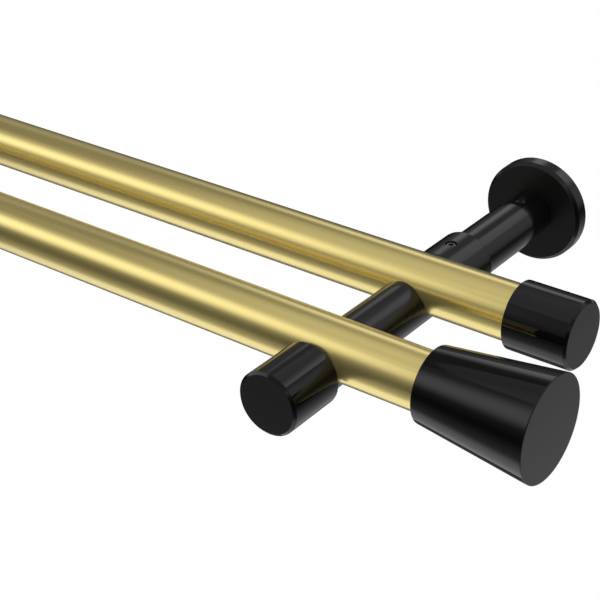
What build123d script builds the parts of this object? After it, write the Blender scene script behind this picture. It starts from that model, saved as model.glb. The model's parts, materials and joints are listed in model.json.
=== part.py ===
from build123d import *
import os

# Double curtain pole: two parallel brass tubes on a pair of black turned brackets.
# Frame: the wall is the plane y = 0 and the room lies towards -Y. +X runs along the
# poles, +Z is up. The origin is midway between the brackets, on the wall, at the height
# of the arms' axis. All sizes are in millimetres.

# Poles
pole_length = 1000.0
pole_diameter = 20.0
pole_wall = 1.0
pole_spacing = 51.5          # from the rear pole's axis to the front pole's axis
rear_pole_to_wall = 83.0
pole_overhang = 59.2         # from a bracket's axis to the end of a pole

# Wall end of a bracket
disc_rim = 2.65              # the disc's wall round the recess for the wall plate
disc_face = 2.95             # the disc's wall in front of the wall plate
disc_chamfer = 1.2
neck_step = 0.5              # how much smaller the neck's radius is than the arm tube's
neck_wall = 3.45             # round the bore for the wall spigot
neck_length = 13.6           # from the disc's face to the arm tube
nose_length = 12.0           # the part of the rosette inside the arm tube
nose_chamfer = 0.8
rim_fillet = 0.4             # softened outer edges of tube, sleeve and cap
neck_screw_offset = 2.3      # from the wall spigot's end back to its set screw

# Wall plate and its spigot, both inside the rosette
plate_diameter = 33.0
plate_thickness = 3.0
plate_screw_spacing = 22.0
screw_hole_diameter = 4.5
countersink_diameter = 8.6
rivet_diameter = 6.0
spigot_length = 14.0         # in front of the plate
spigot_chamfer = 0.7

# Arm
arm_diameter = 18.0          # of the arm tube and of the saddle bar, which are flush
tube_wall = 1.5
sleeve_wall = 1.95
sleeve_length = 20.0
bar_shoulder = 2.6           # the bar's full diameter behind the sleeve's front face
spigot_gap = 8.75            # inside the arm tube, from the rosette's nose to the bar
saddle_floor = 4.2           # what is left of the bar below a pole's seat
cap_wall = 2.05
cap_length = 22.2
cap_chamfer = 0.9
cap_bore_depth = 11.0
cap_screw_recess = 0.45      # from the cap's surface to the end of its set screw

# End pieces
end_piece_depth = 20.0       # how far a pole goes into an end piece
end_cap_wall = 1.95
end_cap_face = 2.8           # the closed end in front of the bore
end_cap_chamfer = 0.9
finial_wall = 2.75           # at the open, narrow end
finial_flare = 4.7           # how much the radius grows towards the wide end
finial_tip = 19.8            # the solid part in front of the bore
end_edge = 0.25              # broken edges of the end pieces
end_screw_offset = 8.0       # from the end piece's open edge to its set screw

# Set screws
arm_screw_diameter = 4.0
arm_screw_length = 3.0
pole_screw_length = 4.0
end_screw_diameter = 3.0
finial_screw_length = 3.0
end_cap_screw_recess = 0.08  # from the end cap's surface to the end of its set screw
key_share = 0.5              # hexagon key width as a share of the screw's diameter
socket_share = 0.4           # socket depth as a share of the screw's diameter
point_chamfer = 0.5

# Clearances
slip_clearance = 0.05        # radial, between parts that slide together
press_clearance = 0.02       # radial, between parts pressed or riveted together
seat_clearance = 0.05        # between faces that are drawn up to each other
plate_clearance = 0.6        # radial, round the wall plate
thread_clearance = 0.05      # radial, round a set screw
hole_clearance = 0.25        # radial, round a set screw that passes through a wall
bottom_clearance = 0.5       # at the bottom of a blind bore

# Places worked out from the sizes above. Distances from the wall are positive here and
# become negative y in the frame.
pole_radius = pole_diameter / 2
arm_radius = arm_diameter / 2
saddle_radius = pole_radius + slip_clearance
pole_rise = saddle_radius + saddle_floor - arm_radius   # pole axes above the arm's axis
bracket_x = pole_length / 2 - pole_overhang
front_pole_to_wall = rear_pole_to_wall + pole_spacing
plate_recess_depth = plate_thickness + seat_clearance
plate_recess_radius = plate_diameter / 2 + plate_clearance
disc_thickness = plate_recess_depth + disc_face
disc_radius = plate_recess_radius + disc_rim
neck_end = disc_thickness + neck_length
neck_radius = arm_radius - neck_step
nose_end = neck_end + nose_length
spigot_bore_radius = neck_radius - neck_wall
spigot_bore_depth = plate_thickness + spigot_length + bottom_clearance
spigot_radius = spigot_bore_radius - slip_clearance
neck_screw_from_wall = plate_thickness + spigot_length - neck_screw_offset
sleeve_front = rear_pole_to_wall - pole_radius - seat_clearance
sleeve_rear = sleeve_front - sleeve_length
sleeve_screw_from_wall = (sleeve_front + sleeve_rear) / 2
sleeve_bore_radius = arm_radius + slip_clearance
sleeve_radius = sleeve_bore_radius + sleeve_wall
bar_rear = sleeve_front - bar_shoulder
bar_spigot_rear = nose_end + spigot_gap
tube_rear = neck_end + seat_clearance
tube_front = bar_rear - seat_clearance
cap_rear = front_pole_to_wall + pole_radius + seat_clearance
bar_front = cap_rear + cap_bore_depth - bottom_clearance
cap_screw_from_wall = cap_rear + cap_bore_depth / 2
cap_bore_radius = arm_radius + slip_clearance
cap_radius = cap_bore_radius + cap_wall
cap_screw_seat = cap_radius - cap_screw_recess - arm_screw_length
tube_bore_radius = arm_radius - tube_wall
bar_spigot_radius = tube_bore_radius - slip_clearance
end_piece_x = pole_length / 2 - end_piece_depth
end_bore_radius = pole_radius + slip_clearance
end_bore_x = end_piece_x + end_piece_depth + bottom_clearance
end_cap_radius = end_bore_radius + end_cap_wall
finial_narrow_radius = end_bore_radius + finial_wall
finial_wide_radius = finial_narrow_radius + finial_flare
end_screw_tip = end_bore_radius - slip_clearance + press_clearance
end_cap_screw_length = end_cap_radius - end_cap_screw_recess - end_screw_tip
screw_thread_radius = arm_screw_diameter / 2 + thread_clearance
screw_pass_radius = arm_screw_diameter / 2 + hole_clearance


def turned_along_arm(profile):
    """A solid of revolution about the arm's axis, from (distance from the wall, radius) points."""
    points = [(radius, -distance) for distance, radius in profile]
    return revolve(make_face(Polyline(*points, close=True)), axis=Axis.Y)


def turned_along_pole(profile):
    """A solid of revolution about the x axis, from (x, radius) points."""
    return revolve(make_face(Polyline(*profile, close=True)), axis=Axis.X)


def rim_edges(body, distance, radius):
    """The circular edges of a turned piece at a distance from the wall, with this radius."""
    near = 0.01
    return body.edges().filter_by(GeomType.CIRCLE).filter_by(
        lambda edge: abs(edge.arc_center.Y + distance) < near and abs(edge.radius - radius) < near
    )


def set_screw(diameter, length):
    """A headless screw with a hexagon socket. It points along -Z, its socket end at z = 0."""
    radius = diameter / 2
    body = revolve(
        make_face(
            Polyline(
                (0, 0),
                (radius, 0),
                (radius, -length + point_chamfer),
                (radius - point_chamfer, -length),
                (0, -length),
                close=True,
            )
        ).rotate(Axis.X, 90),
        axis=Axis.Z,
    )
    key = RegularPolygon(key_share * diameter / 2, 6, major_radius=False)
    socket = extrude(key, amount=-socket_share * diameter)
    return body - socket


def radial_hole(radius, distance, start, reach, upwards=True):
    """A round cutter across the arm at a distance from the wall. It runs from start to reach,
    both measured from the arm's axis, upwards or downwards."""
    low, high = (start, reach) if upwards else (-reach, -start)
    cutter = Cylinder(radius, high - low, align=(Align.CENTER, Align.CENTER, Align.MIN))
    return Pos(0, -distance, low) * cutter


def make_pole(distance):
    """One straight tube, as long as the whole set."""
    outer = Cylinder(pole_radius, pole_length)
    bore = Cylinder(pole_radius - pole_wall, pole_length)
    return Pos(0, -distance, pole_rise) * (outer - bore).rotate(Axis.Y, 90)


def make_wall_plate():
    """A round steel plate that is screwed to the wall through two countersunk holes."""
    plate = turned_along_arm(
        [
            (0, rivet_diameter / 2 + press_clearance),
            (0, plate_diameter / 2),
            (plate_thickness, plate_diameter / 2),
            (plate_thickness, rivet_diameter / 2 + press_clearance),
        ]
    )
    sink = (countersink_diameter - screw_hole_diameter) / 2
    hole = turned_along_arm(
        [
            (-1, 0),
            (-1, screw_hole_diameter / 2),
            (plate_thickness - sink, screw_hole_diameter / 2),
            (plate_thickness, countersink_diameter / 2),
            (plate_thickness + 1, countersink_diameter / 2),
            (plate_thickness + 1, 0),
        ]
    )
    for side in (-1, 1):
        plate -= Pos(0, 0, side * plate_screw_spacing / 2) * hole
    return plate


def make_wall_spigot():
    """A turned stud riveted in the middle of the wall plate. The rosette slides over it."""
    end = plate_thickness + spigot_length
    return turned_along_arm(
        [
            (0, 0),
            (0, rivet_diameter / 2),
            (plate_thickness, rivet_diameter / 2),
            (plate_thickness, spigot_radius),
            (end - spigot_chamfer, spigot_radius),
            (end, spigot_radius - spigot_chamfer),
            (end, 0),
        ]
    )


def make_rosette():
    """Disc, neck and nose turned in one piece, hollow at the back for the plate and spigot."""
    nose_radius = tube_bore_radius - press_clearance
    body = turned_along_arm(
        [
            (0, plate_recess_radius),
            (0, disc_radius),
            (disc_thickness - disc_chamfer, disc_radius),
            (disc_thickness, disc_radius - disc_chamfer),
            (disc_thickness, neck_radius),
            (neck_end, neck_radius),
            (neck_end, nose_radius),
            (nose_end - nose_chamfer, nose_radius),
            (nose_end, nose_radius - nose_chamfer),
            (nose_end, 0),
            (spigot_bore_depth, 0),
            (spigot_bore_depth, spigot_bore_radius),
            (plate_recess_depth, spigot_bore_radius),
            (plate_recess_depth, plate_recess_radius),
        ]
    )
    thread = radial_hole(screw_thread_radius, neck_screw_from_wall, 0, arm_diameter)
    return body - thread


def make_arm_tube():
    """The tube between the rosette and the sleeve, with a hole for the sleeve's screw."""
    body = turned_along_arm(
        [
            (tube_rear, tube_bore_radius),
            (tube_rear, arm_radius),
            (tube_front, arm_radius),
            (tube_front, tube_bore_radius),
        ]
    )
    body = fillet(rim_edges(body, tube_rear, arm_radius), rim_fillet)
    hole = radial_hole(screw_pass_radius, sleeve_screw_from_wall, 0, arm_diameter)
    return body - hole


def make_sleeve():
    """A thick ring over the joint of arm tube and saddle bar, flat against the rear pole."""
    body = turned_along_arm(
        [
            (sleeve_rear, sleeve_bore_radius),
            (sleeve_rear, sleeve_radius),
            (sleeve_front, sleeve_radius),
            (sleeve_front, sleeve_bore_radius),
        ]
    )
    for distance in (sleeve_rear, sleeve_front):
        body = fillet(rim_edges(body, distance, sleeve_radius), rim_fillet)
    reach = 2 * sleeve_radius
    thread = radial_hole(screw_thread_radius, sleeve_screw_from_wall, 0, reach)
    return body - thread


def make_saddle_bar():
    """The solid bar that carries both poles. Each pole lies in a round seat bored across the
    bar above its axis, so that the seat is open at the top and holds a little over half."""
    body = turned_along_arm(
        [
            (bar_spigot_rear, 0),
            (bar_spigot_rear, bar_spigot_radius - spigot_chamfer),
            (bar_spigot_rear + spigot_chamfer, bar_spigot_radius),
            (bar_rear, bar_spigot_radius),
            (bar_rear, arm_radius),
            (bar_front, arm_radius),
            (bar_front, 0),
        ]
    )
    seat = Cylinder(saddle_radius, 2 * arm_diameter).rotate(Axis.Y, 90)
    for distance in (rear_pole_to_wall, front_pole_to_wall):
        body -= Pos(0, -distance, pole_rise) * seat
        body -= radial_hole(screw_thread_radius, distance, 0, arm_diameter, False)
    return body - radial_hole(
        screw_pass_radius, cap_screw_from_wall, cap_screw_seat, arm_diameter, False
    )


def make_front_cap():
    """The round cap on the room end of the bar, flat against the front pole."""
    end = cap_rear + cap_length
    body = turned_along_arm(
        [
            (cap_rear, cap_bore_radius),
            (cap_rear, cap_radius),
            (end, cap_radius),
            (end, 0),
            (cap_rear + cap_bore_depth, 0),
            (cap_rear + cap_bore_depth, cap_bore_radius),
        ]
    )
    body = fillet(rim_edges(body, cap_rear, cap_radius), rim_fillet)
    body = chamfer(rim_edges(body, end, cap_radius), cap_chamfer)
    thread = radial_hole(screw_thread_radius, cap_screw_from_wall, 0, 2 * cap_radius, False)
    return body - thread


def end_screw_hole():
    """The threaded hole from below that every end piece has for its set screw."""
    cutter = Cylinder(
        end_screw_diameter / 2 + thread_clearance,
        2 * finial_wide_radius,
        align=(Align.CENTER, Align.CENTER, Align.MAX),
    )
    return Pos(end_piece_x + end_screw_offset, 0, 0) * cutter


def make_end_cap():
    """The round cap on the end of the rear pole, bored to take the pole."""
    end = end_bore_x + end_cap_face
    body = turned_along_pole(
        [
            (end_piece_x, end_bore_radius),
            (end_piece_x, end_cap_radius - end_edge),
            (end_piece_x + end_edge, end_cap_radius),
            (end - end_cap_chamfer, end_cap_radius),
            (end, end_cap_radius - end_cap_chamfer),
            (end, 0),
            (end_bore_x, 0),
            (end_bore_x, end_bore_radius),
        ]
    )
    return Pos(0, -rear_pole_to_wall, pole_rise) * (body - end_screw_hole())


def make_finial():
    """The flared end piece of the front pole: a plain cone, narrow towards the bracket."""
    end = end_bore_x + finial_tip
    body = turned_along_pole(
        [
            (end_piece_x, end_bore_radius),
            (end_piece_x, finial_narrow_radius - end_edge),
            (end_piece_x + end_edge, finial_narrow_radius),
            (end - end_edge, finial_wide_radius),
            (end, finial_wide_radius - end_edge),
            (end, 0),
            (end_bore_x, 0),
            (end_bore_x, end_bore_radius),
        ]
    )
    return Pos(0, -front_pole_to_wall, pole_rise) * (body - end_screw_hole())


def arm_screws():
    """Neck, sleeve and cap screws of one bracket, all alike."""
    screw = set_screw(arm_screw_diameter, arm_screw_length)
    neck_tip = spigot_bore_radius
    sleeve_tip = tube_bore_radius
    cap_tip = cap_screw_seat + press_clearance
    return [
        Pos(0, -neck_screw_from_wall, neck_tip + arm_screw_length) * screw,
        Pos(0, -sleeve_screw_from_wall, sleeve_tip + arm_screw_length) * screw,
        Pos(0, -cap_screw_from_wall, -cap_tip - arm_screw_length) * screw.rotate(Axis.X, 180),
    ]


def pole_screws():
    """The two screws of one bracket that come up from below and hold the poles."""
    screw = set_screw(arm_screw_diameter, pole_screw_length).rotate(Axis.X, 180)
    tip = pole_rise - saddle_radius
    return [
        Pos(0, -distance, tip - pole_screw_length) * screw
        for distance in (rear_pole_to_wall, front_pole_to_wall)
    ]


def end_screw(distance, length):
    """The screw from below that holds the right-hand end piece of one pole."""
    screw = set_screw(end_screw_diameter, length).rotate(Axis.X, 180)
    tip = pole_rise - end_screw_tip
    return Pos(end_piece_x + end_screw_offset, -distance, tip - length) * screw


def group(shapes):
    """Several separate solids as one node."""
    return Compound(children=[solid for shape in shapes for solid in shape.solids()])


def on_right(shape):
    return Pos(bracket_x, 0, 0) * shape


def on_left(shape):
    return mirror(on_right(shape), Plane.YZ)


nodes = {
    "front_pole": make_pole(front_pole_to_wall),
    "rear_pole": make_pole(rear_pole_to_wall),
}

bracket_pieces = {
    "wall_plate": make_wall_plate(),
    "wall_spigot": make_wall_spigot(),
    "rosette": make_rosette(),
    "arm_tube": make_arm_tube(),
    "sleeve": make_sleeve(),
    "saddle_bar": make_saddle_bar(),
    "front_cap": make_front_cap(),
}
for name, shape in bracket_pieces.items():
    nodes[name + "_right"] = on_right(shape)
    nodes[name + "_left"] = on_left(shape)

for name, shape in {"end_cap": make_end_cap(), "finial": make_finial()}.items():
    nodes[name + "_right"] = shape
    nodes[name + "_left"] = mirror(shape, Plane.YZ)

nodes["arm_set_screws"] = group([side(s) for side in (on_right, on_left) for s in arm_screws()])
nodes["pole_set_screws"] = group([side(s) for side in (on_right, on_left) for s in pole_screws()])

finial_screw = end_screw(front_pole_to_wall, finial_screw_length)
end_cap_screw = end_screw(rear_pole_to_wall, end_cap_screw_length)
nodes["finial_set_screws"] = group([finial_screw, mirror(finial_screw, Plane.YZ)])
nodes["end_cap_set_screws"] = group([end_cap_screw, mirror(end_cap_screw, Plane.YZ)])

os.makedirs("parts", exist_ok=True)
for name, shape in nodes.items():
    export_step(shape, os.path.join("parts", name + ".step"))
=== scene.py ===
# %% [markdown]
# # A double curtain pole, dressed in Blender
# Two satin brass tubes lie side by side in two black turned brackets. The rear tube ends in
# plain round caps, the front one in flared finials. The measured solids come from a packed
# CAD model, and this file gives them rounded edges, threads, finishes and light.
# Everything is in metres. The wall is the plane y = 0, the room lies towards -Y, +X runs
# along the tubes and +Z is up.

# %% Load the measured model
import json
import math

import bmesh
import bpy
import numpy as np
from mathutils import Matrix, Vector

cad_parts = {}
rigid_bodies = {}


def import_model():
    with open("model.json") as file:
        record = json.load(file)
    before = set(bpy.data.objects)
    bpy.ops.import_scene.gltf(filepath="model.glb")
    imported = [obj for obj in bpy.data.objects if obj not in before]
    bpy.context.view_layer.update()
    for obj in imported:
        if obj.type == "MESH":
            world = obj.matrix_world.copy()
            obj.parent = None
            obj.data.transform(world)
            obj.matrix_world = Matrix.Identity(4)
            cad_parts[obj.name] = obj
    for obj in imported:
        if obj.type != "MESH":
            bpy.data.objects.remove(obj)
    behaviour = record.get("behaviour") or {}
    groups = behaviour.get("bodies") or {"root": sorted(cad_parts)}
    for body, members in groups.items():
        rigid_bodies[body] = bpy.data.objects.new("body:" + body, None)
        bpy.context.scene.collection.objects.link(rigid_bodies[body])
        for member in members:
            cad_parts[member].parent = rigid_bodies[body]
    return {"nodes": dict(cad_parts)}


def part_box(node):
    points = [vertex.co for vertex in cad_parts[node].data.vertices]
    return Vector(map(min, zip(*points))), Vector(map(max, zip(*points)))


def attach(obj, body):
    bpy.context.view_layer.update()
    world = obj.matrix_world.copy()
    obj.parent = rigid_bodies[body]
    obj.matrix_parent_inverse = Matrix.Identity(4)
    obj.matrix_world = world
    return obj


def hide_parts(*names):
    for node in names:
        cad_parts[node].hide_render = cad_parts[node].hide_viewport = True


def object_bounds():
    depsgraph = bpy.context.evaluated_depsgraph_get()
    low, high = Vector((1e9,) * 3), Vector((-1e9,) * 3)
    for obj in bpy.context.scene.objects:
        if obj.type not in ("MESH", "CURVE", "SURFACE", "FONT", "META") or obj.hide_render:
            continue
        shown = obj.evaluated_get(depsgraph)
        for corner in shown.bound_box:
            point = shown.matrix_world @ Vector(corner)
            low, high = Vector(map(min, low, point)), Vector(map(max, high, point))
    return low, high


for spare in list(bpy.data.objects):
    bpy.data.objects.remove(spare)
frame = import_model()
cad_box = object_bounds()
MM = 0.001
rounded_box = [tuple(round(value, 4) for value in corner) for corner in cad_box]
print("CAD nodes:", len(frame["nodes"]), "box:", rounded_box)

# %% [markdown]
# ## Two small helpers for node trees
# A finish in Blender is a tree of nodes, and its sums read badly as a list of nodes. `Wire`
# wraps one socket and overloads the arithmetic signs, so `0.3 + 0.1 * grain` adds its Math
# nodes by itself. `Sheet` wraps a tree and has one method that puts in any other node: its
# settings are set first, then the values or wires of its sockets. A list of wires goes to a
# socket that takes several. Geometry Nodes use the same two helpers, because their Math node
# is the same.

# %% Wire
class Wire:
    """One output socket, with arithmetic."""

    def __init__(self, sheet, socket):
        self.sheet = sheet
        self.socket = socket

    def sum_node(self, operation, first, second=0.0):
        settings = {"operation": operation}
        return self.sheet.node("ShaderNodeMath", settings, {0: first, 1: second})

    def __add__(self, other):
        return self.sum_node("ADD", self, other)

    def __radd__(self, other):
        return self.sum_node("ADD", other, self)

    def __sub__(self, other):
        return self.sum_node("SUBTRACT", self, other)

    def __rsub__(self, other):
        return self.sum_node("SUBTRACT", other, self)

    def __mul__(self, other):
        return self.sum_node("MULTIPLY", self, other)

    def __rmul__(self, other):
        return self.sum_node("MULTIPLY", other, self)

    def __truediv__(self, other):
        return self.sum_node("DIVIDE", self, other)

    def __rtruediv__(self, other):
        return self.sum_node("DIVIDE", other, self)

    def apply(self, operation, other=0.0):
        return self.sum_node(operation, self, other)


print("a Wire adds its own Math nodes")

# %% Sheet
class Sheet:
    """One node tree, and the one way to put a node into it."""

    def __init__(self, tree):
        self.tree = tree

    def node(self, kind, settings=None, inputs=None, output=0):
        """Puts in a node of this kind and gives a wire from one of its outputs."""
        made = self.tree.nodes.new(kind)
        for name, value in (settings or {}).items():
            setattr(made, name, value)
        for name, value in (inputs or {}).items():
            wires = value if isinstance(value, list) else [value]
            if isinstance(wires[0], Wire):
                for wire in wires:
                    self.tree.links.new(wire.socket, made.inputs[name])
            else:
                made.inputs[name].default_value = value
        return Wire(self, made.outputs[output]) if made.outputs else made

    def part(self, vector, axis):
        """One coordinate of a vector."""
        return self.node("ShaderNodeSeparateXYZ", None, {0: vector}, output=axis)

    def smooth_step(self, value, low, high):
        """0 below low, 1 above high, and a soft curve between."""
        return self.node(
            "ShaderNodeMapRange",
            {"interpolation_type": "SMOOTHSTEP"},
            {"Value": value, "From Min": low, "From Max": high},
        )

    def mix_colour(self, factor, first, second):
        return self.node(
            "ShaderNodeMix",
            {"data_type": "RGBA"},
            {0: factor, 6: first, 7: second},
            output=2,
        )


print("a Sheet puts in every other node")

# %% [markdown]
# ## The camera
# The photograph was solved from its straight edges and round rims: the camera stands in
# front, to the right and above, and looks down along the arm with a long lens. Blender wants
# the camera's own axes as the columns of a rotation matrix: right, up and backwards.

# %% Camera
CAMERA_PLACE = Vector((0.67917, -0.45293, 0.25044))
YAW, PITCH, ROLL = 0.6650, 0.5214, -0.0228
LENS_MM = 88.38


def camera_axes(yaw, pitch, roll):
    forward = Vector(
        (-math.sin(yaw) * math.cos(pitch), math.cos(yaw) * math.cos(pitch), -math.sin(pitch))
    )
    level_right = Vector((math.cos(yaw), math.sin(yaw), 0.0))
    level_up = level_right.cross(forward)
    right = math.cos(roll) * level_right + math.sin(roll) * level_up
    up = math.cos(roll) * level_up - math.sin(roll) * level_right
    return right, up, -forward


camera_data = bpy.data.cameras.new("photo_camera")
camera_data.lens = LENS_MM
camera_data.sensor_width = 36.0
camera_data.clip_start = 0.01
camera = bpy.data.objects.new("photo_camera", camera_data)
camera_turn = Matrix(camera_axes(YAW, PITCH, ROLL)).transposed().to_4x4()
camera.matrix_world = Matrix.Translation(CAMERA_PLACE) @ camera_turn
bpy.context.scene.collection.objects.link(camera)
bpy.context.scene.camera = camera
print("camera at", tuple(round(c, 3) for c in CAMERA_PLACE), "lens", LENS_MM, "mm")

# %% [markdown]
# ## Light: a studio drawn on the sky
# Polished black and satin brass have hardly any colour of their own: what we see is what they
# reflect. So the studio matters more than the lamps. The world here is a dim room, lighter
# towards its ceiling and near the floor, with a few soft boxes in it and a dark corner in
# front on the right. The ground behind on the left is dark too: it shows as the dark lower
# edge of the tubes, and in the narrow band where one tube mirrors the other. Each box is a
# rectangle with soft edges around one direction. The long front lamp is drawn by the angle
# about the X axis instead, because it lies parallel to the tubes. The four screens at eye
# height are there for looks from straight ahead, behind and the sides.
# A matt surface and the camera see plain white, so that a matt colour renders about as it is
# written and the picture has the white ground of a shop page.

# %% Lamps and room
SOFT_BOXES = [
    # azimuth from -Y towards +X, height, half width, half height, side edge, top edge,
    # brightness; the sizes are tangents of the angles at which the box is seen
    ("back right lamp", 162, 35, 0.18, 0.09, 0.06, 0.14, 0.85),
    ("back left lamp", -151, 27, 0.06, 0.06, 0.18, 0.12, 0.78),
    ("right wall", 122, 14, 0.42, 0.18, 0.16, 0.36, 0.38),
    ("black flag", -112, 46, 0.30, 0.14, 0.14, 0.10, -0.17),
    ("right screen", 90, 0, 0.14, 0.08, 0.10, 0.08, 0.45),
    ("left screen", -90, 0, 0.10, 0.06, 0.06, 0.06, 0.45),
    ("front screen", 0, 0, 0.10, 0.10, 0.10, 0.10, 0.45),
    ("back screen", 180, 0, 0.10, 0.10, 0.10, 0.10, 0.45),
]
FRONT_LAMP_ANGLE, FRONT_LAMP_HALF, FRONT_LAMP_EDGE = 42.0, 3.0, 29.0
FRONT_LAMP_GAP, FRONT_LAMP_START = 0.40, 0.66
FRONT_LAMP_BRIGHTNESS, FRONT_LAMP_RIGHT_SHARE = 1.03, 0.50
PANEL_MIDDLE, PANEL_RADIUS, PANEL_EDGE, PANEL_BRIGHTNESS = (0.25, 0.12), 1.06, 0.03, 0.25
PANEL_LEFT, PANEL_LEFT_EDGE = -0.795, 0.015
ROOM, GROUND_BEHIND, GROUND_IN_FRONT = 0.28, 0.72, 0.47
ROOM_FROM, GROUND_FROM, TURN_TO_BEHIND = (-0.2, 0.55), (0.1, 1.0), (-0.4, 0.4)
DARK_CORNER, CORNER_RIGHT, CORNER_IN_FRONT = 0.65, (0.5, 0.7), (0.0, 0.4)
DARK_GROUND, GROUND_LEFT, GROUND_AT_BACK = 0.85, (0.1, 0.35), (-0.05, 0.2)
LEAST, NEAR_ZERO = 0.05, 0.001  # keep the divisions away from zero
print("soft boxes:", [box[0] for box in SOFT_BOXES], "and one long front lamp")

# %% Shapes of the lamps
def part_along(sheet, direction, axis):
    """How much of a direction points along an axis."""
    return sheet.node(
        "ShaderNodeVectorMath", {"operation": "DOT_PRODUCT"}, {0: direction, 1: axis}, 1
    )


def soft_box(sheet, direction, azimuth, height, half_width, half_height, side_edge, top_edge):
    """A mask that is 1 inside a soft rectangle of the sky."""
    a, h = math.radians(azimuth), math.radians(height)
    centre = Vector((math.sin(a) * math.cos(h), -math.cos(a) * math.cos(h), math.sin(h)))
    across = Vector((math.cos(a), math.sin(a), 0.0))
    upward = centre.cross(across)
    ahead = part_along(sheet, direction, centre).apply("MAXIMUM", LEAST)
    side = (part_along(sheet, direction, across) / ahead).apply("ABSOLUTE")
    lift = (part_along(sheet, direction, upward) / ahead).apply("ABSOLUTE")
    inside_width = 1.0 - sheet.smooth_step(side, half_width, half_width + side_edge)
    inside_height = 1.0 - sheet.smooth_step(lift, half_height, half_height + top_edge)
    return inside_width * inside_height


def front_lamp(sheet, x, y, z):
    """A long lamp along the tubes, with a gap in front of the bracket's end."""
    turn = z.apply("ARCTAN2", 0.0 - y) * (180.0 / math.pi)
    off_centre = (turn - FRONT_LAMP_ANGLE).apply("ABSOLUTE")
    in_lamp = 1.0 - sheet.smooth_step(
        off_centre, FRONT_LAMP_HALF, FRONT_LAMP_HALF + FRONT_LAMP_EDGE
    )
    across = (y * y + z * z).apply("SQRT").apply("MAXIMUM", NEAR_ZERO)
    leftwards = (0.0 - x) / across
    left = sheet.smooth_step(leftwards, FRONT_LAMP_GAP, FRONT_LAMP_START)
    right = sheet.smooth_step(0.0 - leftwards, FRONT_LAMP_GAP, FRONT_LAMP_START)
    return in_lamp * (left + FRONT_LAMP_RIGHT_SHARE * right)


def ceiling_panel(sheet, x, y, z):
    """A round panel overhead with a crisp rim, cut straight on its left side."""
    above = z.apply("MAXIMUM", LEAST)
    from_x = x / above - PANEL_MIDDLE[0]
    from_y = y / above - PANEL_MIDDLE[1]
    radius = (from_x * from_x + from_y * from_y).apply("SQRT")
    in_round = 1.0 - sheet.smooth_step(radius, PANEL_RADIUS, PANEL_RADIUS + PANEL_EDGE)
    return in_round * sheet.smooth_step(x / above, PANEL_LEFT, PANEL_LEFT + PANEL_LEFT_EDGE)


print("lamp shapes: soft rectangle, long lamp, round panel")

# %% The studio
def studio_brightness(sheet, direction):
    """What a polished surface sees in each direction."""
    x = part_along(sheet, direction, (1.0, 0.0, 0.0))
    y = part_along(sheet, direction, (0.0, 1.0, 0.0))
    z = part_along(sheet, direction, (0.0, 0.0, 1.0))
    behind = sheet.smooth_step(y, *TURN_TO_BEHIND)
    ground = GROUND_IN_FRONT + (GROUND_BEHIND - GROUND_IN_FRONT) * behind
    back_left = sheet.smooth_step(y, *GROUND_AT_BACK) * sheet.smooth_step(0.0 - x, *GROUND_LEFT)
    ground = ground * (1.0 - DARK_GROUND * back_left)
    brightness = ROOM * sheet.smooth_step(z, *ROOM_FROM)
    brightness = brightness + ground * sheet.smooth_step(0.0 - z, *GROUND_FROM)
    brightness = brightness + PANEL_BRIGHTNESS * ceiling_panel(sheet, x, y, z)
    brightness = brightness + FRONT_LAMP_BRIGHTNESS * front_lamp(sheet, x, y, z)
    for name, *box, strength in SOFT_BOXES:
        brightness = brightness + strength * soft_box(sheet, direction, *box)
    in_corner = sheet.smooth_step(0.0 - y, *CORNER_IN_FRONT)
    front_right = sheet.smooth_step(x, *CORNER_RIGHT) * in_corner
    return brightness * (1.0 - DARK_CORNER * front_right)


world = bpy.data.worlds.new("studio")
bpy.context.scene.world = world
world.use_nodes = True
world.node_tree.nodes.clear()
sky = Sheet(world.node_tree)
sky_direction = sky.node("ShaderNodeTexCoord", output="Generated")
polished_ray = sky.node("ShaderNodeLightPath", output="Is Glossy Ray")
studio = studio_brightness(sky, sky_direction)
shown = 1.0 + polished_ray * (studio - 1.0)
background = sky.node("ShaderNodeBackground", None, {"Color": (1, 1, 1, 1), "Strength": shown})
sky.node("ShaderNodeOutputWorld", None, {"Surface": background})
print("studio drawn with", len(sky.tree.nodes), "nodes")

# %% [markdown]
# ## The floor
# A plain pale sheet of paper lies well below the pole, as a floor does below a curtain pole.
# It could end in a straight edge, but polished metal would show that edge as a hard line. So
# it fades out in front, where the tubes then show the dark room between floor and lamp, and
# more slowly to the left. Paper in a picture of this kind is lit until it is just white, so
# it gets a little glow for the camera, and for glossy and transmitted rays too. It is
# see-through from below, for a look at the set screws there.

# %% Paper of the floor
FRONT_FADE = (-0.45, -0.85)
LEFT_FADE = (-0.15, -1.1)
PAPER, PAPER_GLOW = (0.9, 0.9, 0.9, 1), 0.105


def start_finish(name):
    """A material, its empty sheet, and the place of each point of the piece."""
    finish = bpy.data.materials.new(name)
    finish.use_nodes = True
    finish.node_tree.nodes.clear()
    sheet = Sheet(finish.node_tree)
    return finish, sheet, sheet.node("ShaderNodeTexCoord", output="Object")


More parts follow.
